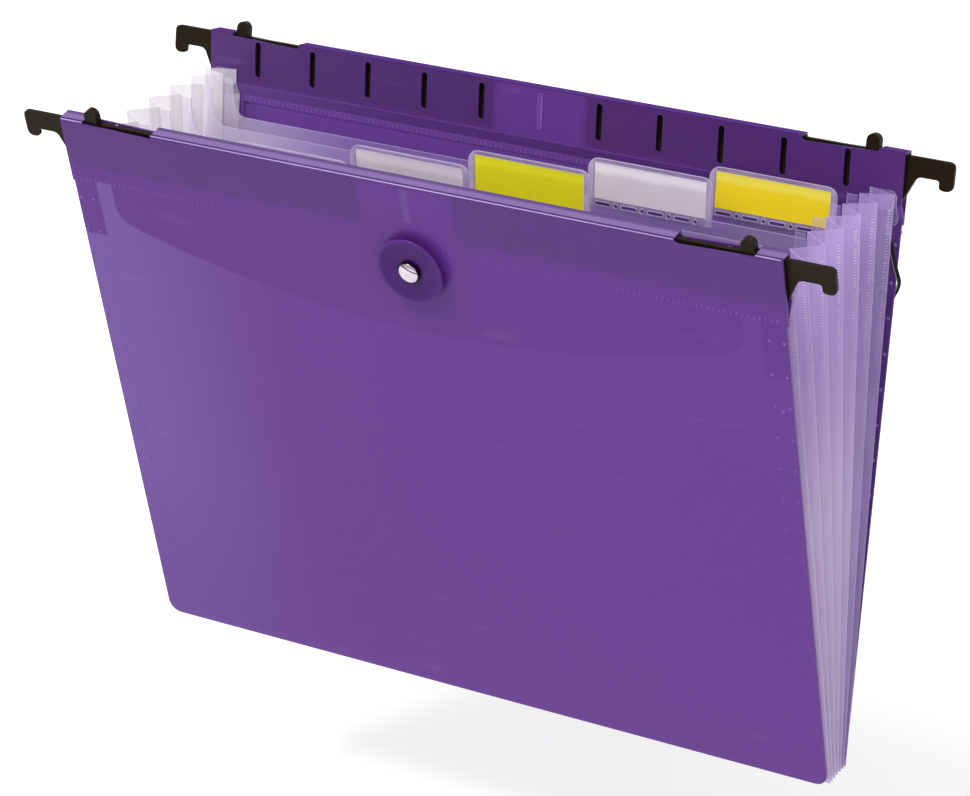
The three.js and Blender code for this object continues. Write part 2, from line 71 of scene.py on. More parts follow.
# Sleeves, welds and index slots of the panels
SLEEVE_DEPTH = 0.006
SLEEVE_WAIST = 0.0046
SLEEVE_WAIST_DROP = 0.0202
SLEEVE_TAPER_DROP = 0.0248
SCOOP_OUTER = HALF_WIDTH - 0.0102
SCOOP_INNER = SCOOP_OUTER - 0.031
WELD_DROP = 0.0263
WELD_PITCH = 0.0022
EAR_DROP = 0.051
SLOT_PITCH = 0.0254
SLOT_COUNT = 11
SLOT_TOP = 0.002
SLOT_BOTTOM = 0.0164
SLOT_WIDTH = 0.0025

# A panel's apron and its ears, in millimetres
APRON_DEPTH = 64.4
APRON_CURVE = 0.00127
APRON_HALF_WIDTH = 132.0
APRON_CORNER = 10.5
EAR_MIDDLE = 38.5
EAR_HALF_HEIGHT = 12.3

# Accordion gusset
GUSSET_THICKNESS = 0.00035
GUSSET_TOP_DROP = 0.0145
GUSSET_FOOT = 0.0008
LEAF_WIDTH = 0.0125
# The points of a leaf's section, as shares of its width, and how pale the film is at each, a painted
# highlight along the folds
LEAF_SHARES = (0.0, 0.06, 0.35, 0.7, 0.94, 1.0)
LEAF_HIGHLIGHTS = (0.35, 0.0, 0.0, 0.0, 0.05, 0.4)
FOLD_INSET = 0.0124
FOLD_X = HALF_WIDTH - FOLD_INSET
FLAP_EDGE = 0.14755
FLAP_CORNER = 0.0028
FLAP_EAR_END = 0.0285
CLEARANCE = 0.0003
BELOW_EAR = EAR_DROP + 2 * CLEARANCE
GUSSET_FOOT_DROP = PANEL_HEIGHT - GUSSET_FOOT
RUNG_PITCH = 0.0011

# Dividers, tabs and labels
DIVIDER_HALF_WIDTH = FOLD_X - 0.0007
DIVIDER_DROP = 0.0303
TAB_WIDTH = 0.0508
TAB_RIGHT_INSET = 0.0079
TAB_RISE = 0.0158
TAB_LAP = 0.0026
TAB_CORNER = 0.004
TAB_HALF_DEPTH = 0.00085

# Button
BUTTON_DROP = 0.035
DISC_RADIUS = 0.0135
DISC_BACK = 0.0026
DISC_THICKNESS = 0.001
BORE = 0.0018
RIVET_RADIUS = 0.00425
RIVET_HEIGHT = 0.0019

# Elastic, from a clip on the right to the middle of the back
CORD_DIAMETER = 0.0016
CORD_HALF_ROUTE = [
    (0.1459, 0.0443, -0.0247),
    (0.1471, 0.0436, -0.0281),
    (0.1481, 0.0432, -0.0316),
    (0.1491, 0.0431, -0.0350),
    (0.14965, 0.0437, -0.0378),
    (0.1496, 0.0448, -0.0402),
    (0.1488, 0.04575, -0.0430),
    (0.1467, 0.0463, -0.0474),
    (0.1380, 0.0466, -0.0640),
    (0.1280, 0.0466, -0.0796),
    (0.1150, 0.0466, -0.0976),
    (0.1000, 0.0466, -0.1152),
    (0.0800, 0.0466, -0.1340),
    (0.0600, 0.0466, -0.1480),
    (0.0400, 0.0466, -0.1577),
    (0.0200, 0.0466, -0.1633),
    (0.0000, 0.0466, -0.1652),
]

# The photograph's frame and where it was taken from
IMAGE_WIDTH = 970
FOCAL_PIXELS = 3507
CAMERA_AZIMUTH = radians(30.42)
CAMERA_ELEVATION = radians(26.12)
CAMERA_ROLL = radians(-1.72)
CAMERA_DISTANCE = 1.3347
CAMERA_TARGET = Vector((0, 0, -0.1003))
FLOOR_GAP = 0.09
FLOOR_HALF_SIZE = 6.0

MILLIMETRES = 1000
SIDES = ((-1, "left"), (1, "right"))


# Where things are in the fan


def on_sheet(place, across, height, back=0.0):
    """The point at a height up a sheet, and a distance back from its plane."""
    turn = (place - POCKETS / 2) * POCKET_ANGLE
    y = (place - POCKETS / 2) * FOLD_PITCH + height * sin(turn) + back * cos(turn)
    z = FOOT_Z + height * cos(turn) - back * sin(turn)
    return Vector((across, y, z))


def sheet_normal(place):
    return (on_sheet(place, 0, 0, 1) - on_sheet(place, 0, 0)).normalized()


def inner_face(drop):
    """How far a panel's inner face stands from its outer one."""
    if drop <= SLEEVE_WAIST_DROP:
        return SLEEVE_DEPTH + (SLEEVE_WAIST - SLEEVE_DEPTH) * drop / SLEEVE_WAIST_DROP
    if drop < SLEEVE_TAPER_DROP:
        share = (drop - SLEEVE_WAIST_DROP) / (SLEEVE_TAPER_DROP - SLEEVE_WAIST_DROP)
        return SLEEVE_WAIST + (2 * SHEET - SLEEVE_WAIST) * share
    return 2 * SHEET if drop < EAR_DROP + CLEARANCE else SHEET


def front_outside(across, drop, rise):
    return on_sheet(0, across, PANEL_HEIGHT - drop, -rise)


def front_inside(across, drop, rise):
    return on_sheet(0, across, PANEL_HEIGHT - drop, inner_face(drop) + rise)


def back_inside(across, drop, rise):
    return on_sheet(POCKETS, across, PANEL_HEIGHT - drop, -inner_face(drop) - rise)


def back_outside(across, drop, rise):
    return on_sheet(POCKETS, across, PANEL_HEIGHT - drop, rise)


INSIDES = ((front_inside, "front_panel", "front"), (back_inside, "back_panel", "back"))


def tab_face(number, facing):
    """A face of a tab: facing is -1 for the front one and 1 for the back one."""

    def on_face(across, drop, rise):
        return on_sheet(number, across, PANEL_HEIGHT - drop, facing * (TAB_HALF_DEPTH + rise))

    return on_face


def tab_centre(number):
    first = -DIVIDER_HALF_WIDTH + TAB_WIDTH / 2
    last = DIVIDER_HALF_WIDTH - TAB_RIGHT_INSET - TAB_WIDTH / 2
    return first + (last - first) * (number - 1) / (POCKETS - 2)


# Mesh making


def put_in_scene(name, data):
    thing = bpy.data.objects.new(name, data)
    bpy.context.scene.collection.objects.link(thing)
    return thing


class Shape:
    """Closed forms gathered into one mesh, with a lightness for each point that its material may read."""

    def __init__(self):
        self.points = []
        self.faces = []
        self.light = []

    def add(self, points, faces, light=0.0):
        first = len(self.points)
        self.points += [tuple(p) for p in points]
        self.faces += [tuple(first + i for i in face) for face in faces]
        self.light += light if isinstance(light, list) else [light] * len(points)

    def make(self, name, material, smooth=False):
        mesh = bpy.data.meshes.new(name)
        mesh.from_pydata(self.points, [], self.faces)
        form = bmesh.new()
        form.from_mesh(mesh)
        bmesh.ops.recalc_face_normals(form, faces=form.faces)
        form.to_mesh(mesh)
        form.free()
        mesh.polygons.foreach_set("use_smooth", [smooth] * len(mesh.polygons))
        attribute = mesh.attributes.new("lightness", "FLOAT", "POINT")
        attribute.data.foreach_set("value", self.light)
        mesh.materials.append(material)
        return put_in_scene(name, mesh)


def along_at(line, i):
    """The way a line of points runs at one of them."""
    return line[min(i + 1, len(line) - 1)] - line[max(i - 1, 0)]


def thicken(line, edge):
    """A bent strip's section: pairs of points, half the gusset's thickness either side of a line."""
    pairs = []
    for i, point in enumerate(line):
        beside = along_at(line, i).cross(edge).normalized() * GUSSET_THICKNESS / 2
        pairs.append((point + beside, point - beside))
    return pairs


def add_strip(shape, rows, lights):
    """A thin strip: each row is one section of it, a list of pairs of points, one point a side."""
    count = len(rows[0])
    points = [p for row in rows for pair in row for p in pair]
    light = [value for row in rows for value in lights for _ in (0, 1)]

    def at(i, j, side):
        return (i * count + j) * 2 + side

    faces = []
    for i in range(len(rows) - 1):
        for j in range(count - 1):
            faces.append((at(i, j, 0), at(i, j + 1, 0), at(i + 1, j + 1, 0), at(i + 1, j, 0)))
            faces.append((at(i, j, 1), at(i + 1, j, 1), at(i + 1, j + 1, 1), at(i, j + 1, 1)))
        for j in (0, count - 1):
            faces.append((at(i, j, 0), at(i + 1, j, 0), at(i + 1, j, 1), at(i, j, 1)))
    for j in range(count - 1):
        for i in (0, len(rows) - 1):
            faces.append((at(i, j, 0), at(i, j, 1), at(i, j + 1, 1), at(i, j + 1, 0)))
    shape.add(points, faces, light)


BOX_FACES = [(0, 1, 2, 3), (4, 7, 6, 5), (0, 4, 5, 1), (1, 5, 6, 2), (2, 6, 7, 3), (3, 7, 4, 0)]
# How far the foot of a raised form lies inside the face that it stands on
SUNK = 0.00005


def add_bar(shape, on_face, across, drop, width, height, rise, light=0.0):
    """A small raised bar with sloping sides."""
    corners = [(-1, -1), (1, -1), (1, 1), (-1, 1)]
    slope = min(rise, width / 3, height / 3)
    base = [on_face(across + i * width / 2, drop + j * height / 2, -SUNK) for i, j in corners]
    half_width, half_height = width / 2 - slope, height / 2 - slope
    top = [on_face(across + i * half_width, drop + j * half_height, rise) for i, j in corners]
    shape.add(base + top, BOX_FACES, light)


def ring_faces(rings, sides, closed=False):
    """The faces between each ring of points and the next, and from the last to the first if closed."""
    faces = []
    for i in range(rings if closed else rings - 1):
        j = (i + 1) % rings
        for k in range(sides):
            m = (k + 1) % sides
            faces.append((i * sides + k, i * sides + m, j * sides + m, j * sides + k))
    return faces


def ring(centre, radius, beside, upward, sides):
    turns = [2 * pi * k / sides for k in range(sides)]
    return [centre + radius * (cos(turn) * beside + sin(turn) * upward) for turn in turns]


def add_dot(shape, on_face, across, drop, radius, rise, light=0.0):
    """A low round dome."""
    sides = 12
    points = []
    for share, level in ((1, -SUNK), (0.85, rise * 0.6), (0.5, rise * 0.92)):
        for i in range(sides):
            turn = 2 * pi * i / sides
            reach = radius * share
            points.append(on_face(across + reach * cos(turn), drop + reach * sin(turn), level))
    points.append(on_face(across, drop, rise))
    cap = [(2 * sides + i, 2 * sides + (i + 1) % sides, 3 * sides) for i in range(sides)]
    shape.add(points, [tuple(range(sides))] + ring_faces(3, sides) + cap, light)


def add_outline(shape, on_face, across, drop, half_length, radius, rise, upright=False):
    """A raised bead round a slot with round ends."""
    half_bead = 0.00015
    steps = 6
    line = []
    for end in (1, -1):
        for i in range(steps + 1):
            turn = pi * (i / steps - 0.5) + (0 if end > 0 else pi)
            line.append((end * half_length, cos(turn), sin(turn)))
    points = []
    for middle, i, j in line:
        for reach, level in ((radius + half_bead, -SUNK), (radius, rise), (radius - half_bead, -SUNK)):
            along, beside = middle + reach * i, reach * j
            if upright:
                along, beside = beside, along
            points.append(on_face(across + along, drop + beside, level))
    faces = []
    for k in range(len(line)):
        m = (k + 1) % len(line)
        faces += [(3 * k + s, 3 * m + s, 3 * m + (s + 1) % 3, 3 * k + (s + 1) % 3) for s in range(3)]
    shape.add(points, faces)


def add_bead(shape, line, normal, radius, light=0.0):
    """A round bead along a line that lies in a plane."""
    sides = 6
    points = []
    for i, point in enumerate(line):
        beside = along_at(line, i).normalized().cross(normal).normalized()
        points += ring(point, radius, beside, normal, sides)
    ends = [tuple(range(sides)), tuple(range(len(points) - sides, len(points)))]
    shape.add(points, ends + ring_faces(len(line), sides), light)


def add_turned(shape, profile, centre, axis, sides):
    """A closed profile of (radius, distance along the axis) points, turned about the axis."""
    beside = Vector((1, 0, 0))
    upward = axis.cross(beside).normalized()
    points = []
    for radius, along in profile:
        points += ring(centre + axis * along, radius, beside, upward, sides)
    shape.add(points, ring_faces(len(profile), sides, closed=True))


# Materials


def colour(red, green, blue):
    """A colour given as it looks on a screen, from 0 to 255."""

    def linear(value):
        value /= 255
        return value / 12.92 if value <= 0.04045 else ((value + 0.055) / 1.055) ** 2.4

    return (linear(red), linear(green), linear(blue), 1)


def feed(tree, socket, value):
    """Links a socket to another socket, or sets it to a value."""
    if isinstance(value, bpy.types.NodeSocket):
        tree.links.new(value, socket)
    else:
        socket.default_value = value


def add_node(tree, kind, inputs=None, **settings):
    """Adds a node with its settings and what is fed into it, and gives its outputs."""
    node = tree.nodes.new(kind)
    for name, value in settings.items():
        setattr(node, name, value)
    for label, value in (inputs or {}).items():
        feed(tree, node.inputs[label], value)
    return node.outputs


def calculate(tree, operation, *values):
    return add_node(tree, "ShaderNodeMath", dict(enumerate(values)), operation=operation)[0]


def times(tree, first, second):
    return calculate(tree, "MULTIPLY", first, second)


def larger(tree, first, second):
    return calculate(tree, "MAXIMUM", first, second)


def on_vectors(tree, operation, first, second):
    return add_node(tree, "ShaderNodeVectorMath", {0: first, 1: second}, operation=operation)


def axes(tree, vector):
    return add_node(tree, "ShaderNodeSeparateXYZ", {0: vector})


def step(tree, value, low, high):
    """0 below the first value, 1 above the second and a smooth step between them."""
    inputs = {"Value": value, "From Min": low, "From Max": high}
    return add_node(tree, "ShaderNodeMapRange", inputs, interpolation_type="SMOOTHSTEP")["Result"]


def spread(tree, value, low, high):
    """A value from 0 to 1, spread from low to high."""
    inputs = {"Value": value, "To Min": low, "To Max": high}
    return add_node(tree, "ShaderNodeMapRange", inputs)["Result"]


def blend(tree, share, first, second):
    inputs = {"Factor": share, "A": first, "B": second}
    return add_node(tree, "ShaderNodeMix", inputs, data_type="RGBA")["Result"]


def place_of(tree):
    return add_node(tree, "ShaderNodeTexCoord")["Object"]


def noise(tree, scale, detail=2.0, stretch=(1, 1, 1)):
    place = add_node(tree, "ShaderNodeMapping", {"Scale": stretch, "Vector": place_of(tree)})["Vector"]
    return add_node(tree, "ShaderNodeTexNoise", {"Scale": scale, "Detail": detail, "Vector": place})["Fac"]


def new_group(name, inputs, outputs, input_kind="NodeSocketFloat"):
    """A node group that gives numbers: its tree, and what goes in and comes out of it."""
    tree = bpy.data.node_groups.new(name, "ShaderNodeTree")
    for label in inputs:
        tree.interface.new_socket(label, in_out="INPUT", socket_type=input_kind)
    for label in outputs:
        tree.interface.new_socket(label, in_out="OUTPUT", socket_type="NodeSocketFloat")
    return tree, tree.nodes.new("NodeGroupInput").outputs, tree.nodes.new("NodeGroupOutput").inputs


def use_group(tree, group, **values):
    return add_node(tree, "ShaderNodeGroup", values, node_tree=group)


def make_grain():
    """The fine matt grain of polypropylene sheet, with slow waves from how it was rolled."""
    tree, into, out = new_group("sheet grain", ["Grain", "Wave"], ["Height", "Mottle"])
    grain = times(tree, noise(tree, 2600.0, 1.0), into["Grain"])
    wave = times(tree, noise(tree, 22.0), into["Wave"])
    feed(tree, out["Height"], calculate(tree, "ADD", grain, wave))
    feed(tree, out["Mottle"], noise(tree, 9.0, 3.0))
    return tree


def make_scuffs():
    """Faint rubbed lines along the sheet and small specks of dust."""
    tree, into, out = new_group("scuffs", ["Amount"], ["Mask"])
    rubbed = step(tree, noise(tree, 35.0, 5.0, (1, 1, 5)), 0.62, 0.82)
    specks = step(tree, noise(tree, 1100.0, 1.0), 0.76, 0.82)
    feed(tree, out["Mask"], times(tree, larger(tree, rubbed, specks), into["Amount"]))
    return tree


def make_sheet_place():
    """How far across a sheet a point lies, below the panels' top and behind its plane, in millimetres."""
    tree, into, out = new_group(
        "sheet place", ["Top", "Down", "Behind"], ["Across", "Drop", "Depth"], "NodeSocketVector"
    )
    away = on_vectors(tree, "SUBTRACT", place_of(tree), into["Top"])["Vector"]
    feed(tree, out["Across"], times(tree, axes(tree, away)["X"], MILLIMETRES))
    for label, direction in (("Drop", "Down"), ("Depth", "Behind")):
        along = on_vectors(tree, "DOT_PRODUCT", away, into[direction])["Value"]
        feed(tree, out[label], times(tree, along, MILLIMETRES))
    return tree


GRAIN = make_grain()
SCUFFS = make_scuffs()
SHEET_PLACE = make_sheet_place()


def new_material(name, roughness, alpha=1.0, metallic=0.0, specular=0.5):
    material = bpy.data.materials.new(name)
    material.use_nodes = True
    tree = material.node_tree
    shader = tree.nodes["Principled BSDF"]
    shader.inputs["Roughness"].default_value = roughness
    shader.inputs["Alpha"].default_value = alpha
    shader.inputs["Metallic"].default_value = metallic
    shader.inputs["Specular IOR Level"].default_value = specular
    return material, tree


def coat(material, tone, roughness, relief=None, depth=0.0, alpha=None):
    """Gives a material its colour and roughness, and where it has them a relief and a changing alpha."""
    tree = material.node_tree
    inputs = tree.nodes["Principled BSDF"].inputs
    feed(tree, inputs["Base Color"], tone)
    feed(tree, inputs["Roughness"], roughness)
    if alpha is not None:
        feed(tree, inputs["Alpha"], alpha)
    if relief is not None:
        bump = add_node(tree, "ShaderNodeBump", {"Distance": depth, "Height": relief})
        feed(tree, inputs["Normal"], bump["Normal"])
    return material


def panel_place(tree, place):
    top = on_sheet(place, 0, PANEL_HEIGHT)
    down = (on_sheet(place, 0, 0) - top).normalized()
    return use_group(tree, SHEET_PLACE, Top=top, Down=down, Behind=sheet_normal(place))


def purple_sheet(name, place, sheet, layered, plate_shade, pale, slope, top_light_and_shade):
    """Translucent purple sheet: deeper where layers lie over each other, and paler towards its left side, a
    painted light; the masks below paint more light and shade.

    Lengths are in millimetres: each step runs from where a part ends to where it is full.
    """
    material, tree = new_material(name, 0.3, 0.93, specular=0.32)
    grain = use_group(tree, GRAIN, Grain=0.35, Wave=1.0)
    scuffs = use_group(tree, SCUFFS, Amount=0.08)
    where = panel_place(tree, place)
    across, drop = where["Across"], where["Drop"]
    outward = calculate(tree, "ABSOLUTE", across)
    depth = calculate(tree, "ABSOLUTE", where["Depth"])

    sleeve = step(tree, drop, 26.6, 26.0)
    curve = calculate(tree, "MULTIPLY_ADD", calculate(tree, "POWER", across, 2.0), APRON_CURVE, drop)
    to_curve = calculate(tree, "SUBTRACT", APRON_DEPTH, curve)
    to_side = calculate(tree, "SUBTRACT", APRON_HALF_WIDTH, outward)
    apron = step(tree, calculate(tree, "SMOOTH_MIN", to_curve, to_side, APRON_CORNER), 0.0, 0.7)
    ear = calculate(tree, "COMPARE", drop, EAR_MIDDLE, EAR_HALF_HEIGHT)
    ear = times(tree, ear, step(tree, outward, 137.8, 139.2))
    layers = larger(tree, sleeve, larger(tree, apron, ear))
    # Painted shade: darker where the black hook plates lie behind the sheet.
    plate_shade_mask = times(tree, step(tree, outward, 17.5, 21.5), step(tree, drop, 23.0, 17.5))
    # Painted light: the sheet is paler towards its left side, less so towards its foot.
    high = spread(tree, step(tree, drop, 235.0, 140.0), 0.45, 1.0)
    left = times(tree, step(tree, across, -55.0, -142.0), high)
    # Painted light: paler, at half strength, down the middle slot.
    slot = times(tree, step(tree, outward, 2.2, 0.6), calculate(tree, "COMPARE", drop, 9.0, 7.0))
    # Painted light: paler on the sloping part of the sleeve.
    sloping = times(tree, calculate(tree, "COMPARE", drop, 22.5, 2.5), step(tree, depth, 1.2, 1.4))
    # Painted light and shade in bands across the sleeve's top, from the fold rearwards.
    fold, front_band, rear_band = top_light_and_shade
    top = blend(tree, step(tree, depth, 0.9, 1.3), fold, front_band)
    top = blend(tree, step(tree, depth, 3.4, 5.0), top, rear_band)

    tone = sheet
    for mask, over in (
        (left, pale),
        (layers, layered),
        (plate_shade_mask, plate_shade),
        (times(tree, slot, 0.5), pale),
        (sloping, slope),
        (step(tree, drop, 0.35, 0.2), top),
        (spread(tree, grain["Mottle"], 0.0, 0.1), pale),
        (scuffs["Mask"], colour(176, 150, 205)),
    ):
        tone = blend(tree, mask, tone, over)
    return coat(material, tone, spread(tree, grain["Mottle"], 0.24, 0.36), grain["Height"], 0.00012)


def lightness_of(tree):
    return add_node(tree, "ShaderNodeAttribute", attribute_name="lightness")["Fac"]


def clear_sheet(name, tint, edge_tint, roughness, alpha, edge_alpha, left_light_tint=None, left_alpha=None):
    """Clear or frosted sheet, paler along folds and embossed marks, a painted highlight, and maybe whiter
    and more opaque towards its left, a painted light.
    """
    material, tree = new_material(name, roughness, alpha)
    grain = use_group(tree, GRAIN, Grain=0.3, Wave=1.5)
    scuffs = use_group(tree, SCUFFS, Amount=0.15)
    # Painted highlights along folds, edges and embossed marks, together with the scuffs.
    pale = larger(tree, lightness_of(tree), scuffs["Mask"])
    # Painted light: whiter and more opaque towards the left, where the light falls.
    left = step(tree, axes(tree, place_of(tree))["X"], -0.06, -0.13)
    tone = blend(tree, left, tint, left_light_tint or tint)
    tone = blend(tree, pale, tone, edge_tint)
    film = spread(tree, left, alpha, left_alpha or alpha)
    film = larger(tree, times(tree, pale, edge_alpha), film)
    rough = spread(tree, grain["Mottle"], roughness - 0.05, roughness + 0.05)
    return coat(material, tone, rough, grain["Height"], 0.00015, film)


def gusset_film(name, high_tint, low_tint, rear_tint, high_alpha, low_alpha):
    """Frosted film with fine upright streaks, paler at its folds and rungs with a painted highlight, which
    changes downwards and rearwards.
    """
    material, tree = new_material(name, 0.35, specular=0.3)
    grain = use_group(tree, GRAIN, Grain=0.3, Wave=1.5)
    scuffs = use_group(tree, SCUFFS, Amount=0.1)
    where = axes(tree, place_of(tree))
    low = step(tree, where["Z"], -0.03, -0.12)
    foot_pitch = FOLD_PITCH - POCKET_ANGLE * FOOT_Z
    pitch = calculate(tree, "MULTIPLY_ADD", where["Z"], POCKET_ANGLE, foot_pitch)
    pockets_behind_middle = calculate(tree, "DIVIDE", where["Y"], pitch)
    rear = step(tree, pockets_behind_middle, 0.2, 3.3)
    # Painted highlight at the folds and rungs, weaker low down.
    marked = times(tree, lightness_of(tree), spread(tree, low, 1.0, 0.3))
    pale = larger(tree, marked, scuffs["Mask"])
    streaks = noise(tree, 240.0, 3.0, (1, 1, 0.03))
    tone = blend(tree, low, high_tint, low_tint)
    tone = blend(tree, rear, tone, rear_tint)
    tone = blend(tree, spread(tree, streaks, 0.0, 0.24), tone, colour(250, 244, 255))
    tone = blend(tree, pale, tone, colour(246, 236, 253))
    film = spread(tree, low, high_alpha, low_alpha)
    film = calculate(tree, "ADD", film, spread(tree, streaks, -0.12, 0.12))
    film = larger(tree, film, times(tree, pale, 0.7))
    return coat(material, tone, spread(tree, grain["Mottle"], 0.3, 0.4), grain["Height"], 0.00015, film)


def tab_film(name, number):
    """Clear film, all but unseen over its label and milky beside it. Its steps are in millimetres."""
    material, tree = new_material(name, 0.12, specular=0.15)
    where = panel_place(tree, number)
    centre = tab_centre(number) * MILLIMETRES
    aside = calculate(tree, "ABSOLUTE", calculate(tree, "SUBTRACT", where["Across"], centre))
    above = step(tree, where["Drop"], 16.3, 15.9)
    below = step(tree, where["Drop"], 29.8, 30.2)
    bare = larger(tree, step(tree, aside, 22.8, 23.4), times(tree, larger(tree, above, below), 0.45))
    streak = noise(tree, 90.0)
    milky = times(tree, bare, spread(tree, streak, 0.1, 0.55))
    tone = blend(tree, streak, colour(190, 166, 216), colour(236, 224, 246))
    return coat(material, tone, spread(tree, streak, 0.08, 0.2), alpha=larger(tree, milky, 0.008))


def label_card(name, number, base, bright):
    """Card behind clear film, with a bright band of light along its upper part."""
    material, tree = new_material(name, 0.45, specular=0.15)
    sway = spread(tree, noise(tree, 70.0, 1.0), -1.6, 1.6)
    edge = calculate(tree, "ADD", panel_place(tree, number)["Drop"], sway)
    band = step(tree, calculate(tree, "SUBTRACT", 20.0, edge), -1.2, 1.4)
    fibre = noise(tree, 900.0, 3.0)
    tone = blend(tree, times(tree, band, 0.75), base, bright)
    tone = blend(tree, spread(tree, fibre, 0.0, 0.1), tone, bright)
    return coat(material, tone, 0.45, fibre, 0.00004)


def moulded_plastic(name, base, worn, roughness, specular):
    """Moulded plastic with a fine spark-eroded grain and rubbed patches."""
    material, tree = new_material(name, roughness, specular=specular)
    scuffs = use_group(tree, SCUFFS, Amount=0.15)
    slow = noise(tree, 40.0)
    tone = blend(tree, spread(tree, slow, 0.0, 0.4), base, worn)
    tone = blend(tree, scuffs["Mask"], tone, worn)
    rough = spread(tree, slow, roughness - 0.06, roughness + 0.08)
    return coat(material, tone, rough, noise(tree, 1400.0), 0.00008)


def from_button(tree):
    """Millimetres from the button's axis, and millimetres towards the panel's upper right corner."""
    where = panel_place(tree, 0)
    across = where["Across"]
    below = calculate(tree, "SUBTRACT", where["Drop"], BUTTON_DROP * MILLIMETRES)
    squared = calculate(tree, "MULTIPLY_ADD", across, across, times(tree, below, below))
    corner = calculate(tree, "MULTIPLY_ADD", across, 0.4, times(tree, below, -0.92))
    return calculate(tree, "SQRT", squared), corner


def button_plastic(name, plain, rim, foot):
    """Moulded plastic that is paler along its rounded rim, a painted highlight, and dark in the hollow round
    the rivet, painted shade.
    """
    material, tree = new_material(name, 0.28, specular=0.22)
    radius = from_button(tree)[0]
    slow = noise(tree, 60.0)
    tone = blend(tree, spread(tree, slow, 0.0, 0.25), plain, rim)
    tone = blend(tree, step(tree, radius, 11.6, 13.2), tone, rim)
    tone = blend(tree, step(tree, radius, 5.4, 4.5), tone, foot)
    return coat(material, tone, spread(tree, slow, 0.22, 0.36), noise(tree, 1400.0), 0.00005)


def rivet_metal(name, bright, dark):
    """Polished metal with painted shade in a dark line round its foot and a painted reflection in a dark
    streak across its shoulder.
    """
    material, tree = new_material(name, 0.16, metallic=1.0)
    radius, corner = from_button(tree)
    slow = noise(tree, 300.0)
    streak = times(tree, step(tree, corner, 1.9, 2.15), step(tree, corner, 2.6, 2.35))
    mark = larger(tree, streak, step(tree, radius, 3.75, 4.1))
    tone = blend(tree, slow, bright, colour(240, 232, 238))
    return coat(material, blend(tree, mark, tone, dark), spread(tree, slow, 0.12, 0.26))


def weld_mark(name, faint, strong):
    """The stressed, whitened plastic of a weld, from barely to plainly marked."""
    material, tree = new_material(name, 0.3, specular=0.25)
    slow = noise(tree, 160.0)
    shown = times(tree, lightness_of(tree), spread(tree, slow, 0.8, 1.1))
    tone = blend(tree, shown, faint, strong)
    return coat(material, tone, spread(tree, slow, 0.24, 0.38), noise(tree, 1400.0), 0.00005)


def polished_metal(name, base):
    material, tree = new_material(name, 0.16, metallic=1.0)
    slow = noise(tree, 300.0)
    tone = blend(tree, slow, base, colour(245, 243, 243))
    return coat(material, tone, spread(tree, slow, 0.1, 0.24))


def braided_elastic(name):
    """Dark braid, paler along one side with a painted highlight."""
    material, tree = new_material(name, 0.7, specular=0.2)
    inputs = {"Scale": 700.0, "Distortion": 2.0, "Vector": place_of(tree)}
    wave = add_node(tree, "ShaderNodeTexWave", inputs, bands_direction="DIAGONAL")["Fac"]
    normal = add_node(tree, "ShaderNodeNewGeometry")["Normal"]
    # Painted highlight: pale where the surface faces left, forwards and a little down.
    highlight_side = Vector((-0.5, -0.85, -0.15)).normalized()
    painted_highlight = step(tree, on_vectors(tree, "DOT_PRODUCT", normal, highlight_side)["Value"], 0.9, 0.95)
    tone = blend(tree, wave, colour(14, 11, 10), colour(46, 38, 36))
    tone = blend(tree, painted_highlight, tone, colour(214, 200, 196))
    return coat(material, tone, 0.7, wave, 0.0002)


FRONT_PURPLE = purple_sheet(
    "front purple sheet",
    0,
    sheet=colour(103, 52, 146),
    layered=colour(96, 45, 140),
    plate_shade=colour(87, 44, 124),
    pale=colour(117, 81, 163),
    slope=colour(120, 80, 165),
    top_light_and_shade=(colour(60, 28, 96), colour(128, 102, 158), colour(88, 62, 122)),
)
BACK_PURPLE = purple_sheet(
    "back purple sheet",
    POCKETS,
    sheet=colour(94, 51, 137),
    layered=colour(102, 59, 147),
    plate_shade=colour(84, 46, 116),
    pale=colour(108, 62, 152),
    slope=colour(132, 82, 180),
    top_light_and_shade=[colour(60, 28, 96)] * 3,
)
# Painted highlight: the pale beads along the front panel's top folds.
FOLD_HIGHLIGHT = moulded_plastic("fold with painted highlight", colour(178, 150, 212), colour(200, 180, 226), 0.3, 0.25)
# Painted shade: the dark fold bead and top strip of the back panel.
FOLD_SHADE = moulded_plastic("fold with painted shade", colour(84, 50, 122), colour(92, 58, 130), 0.6, 0.0)
MARK_PURPLE = weld_mark("weld mark purple", colour(104, 55, 148), colour(176, 142, 212))
DISC_PURPLE = button_plastic("button purple", colour(63, 13, 101), colour(84, 34, 125), colour(34, 6, 58))
RIVET_METAL = rivet_metal("rivet metal", colour(236, 222, 234), colour(52, 36, 58))
FROSTED_CLEAR = clear_sheet(
    "frosted clear sheet",
    tint=colour(200, 175, 238),
    edge_tint=colour(236, 226, 250),
    roughness=0.3,
    alpha=0.14,
    edge_alpha=0.6,
    left_light_tint=colour(236, 224, 250),
    left_alpha=0.25,
)
# Painted highlight along the tabs' rims and the outlines of their weld marks.
TAB_EDGE_HIGHLIGHT = clear_sheet("tab edge with painted highlight", colour(204, 186, 228), colour(240, 230, 250), 0.12, 0.2, 0.75)
# Painted shade in the hollows of the tabs' weld marks.
WELD_HOLLOW_SHADE = clear_sheet("painted shade in a tab weld hollow", colour(84, 52, 132), colour(110, 76, 160), 0.3, 0.75, 0.8)
FLAP_CLEAR = clear_sheet(
    "clear gusset flap",
    tint=colour(206, 186, 232),
    edge_tint=colour(244, 238, 250),
    roughness=0.2,
    alpha=0.14,
    edge_alpha=0.7,
    left_light_tint=colour(226, 216, 240),
)
